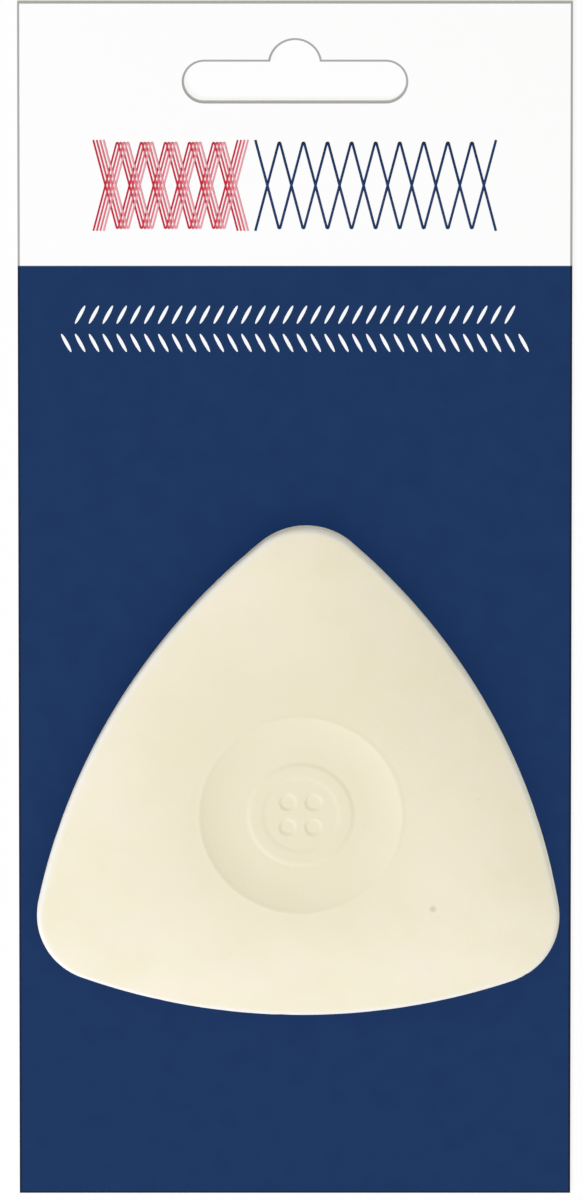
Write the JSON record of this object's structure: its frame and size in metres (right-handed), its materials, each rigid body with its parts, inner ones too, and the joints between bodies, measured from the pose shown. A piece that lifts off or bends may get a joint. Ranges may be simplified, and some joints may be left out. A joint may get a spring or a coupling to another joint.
{
  "type": "tailors chalk",
  "caption": "Rounded three-cornered tablet of pressed tailor's chalk with a shallow round dish in each face, held by a peelable glue spot on a flat hang card with a notched peg slot.",
  "frame": {"origin": "middle of the card's underside, the lowest point of the whole part", "axes": "+Z out of the card's printed face, +Y up the card towards the hang slot, +X to the right across the card"},
  "size_m": [0.06, 0.1336, 0.0073],
  "materials": {
    "printed_board": "satin",
    "glue": "gloss",
    "pressed_chalk": "matte"
  },
  "bodies": {
    "card": {"hang_card": "printed_board", "glue_dot": "glue"},
    "tablet": {"chalk": "pressed_chalk"}
  },
  "joints": [
    {"name": "tablet_lift", "type": "slide", "parent": "card", "child": "tablet", "axis": [0, 0, 1], "range_m": [0, 0.03]}
  ]
}
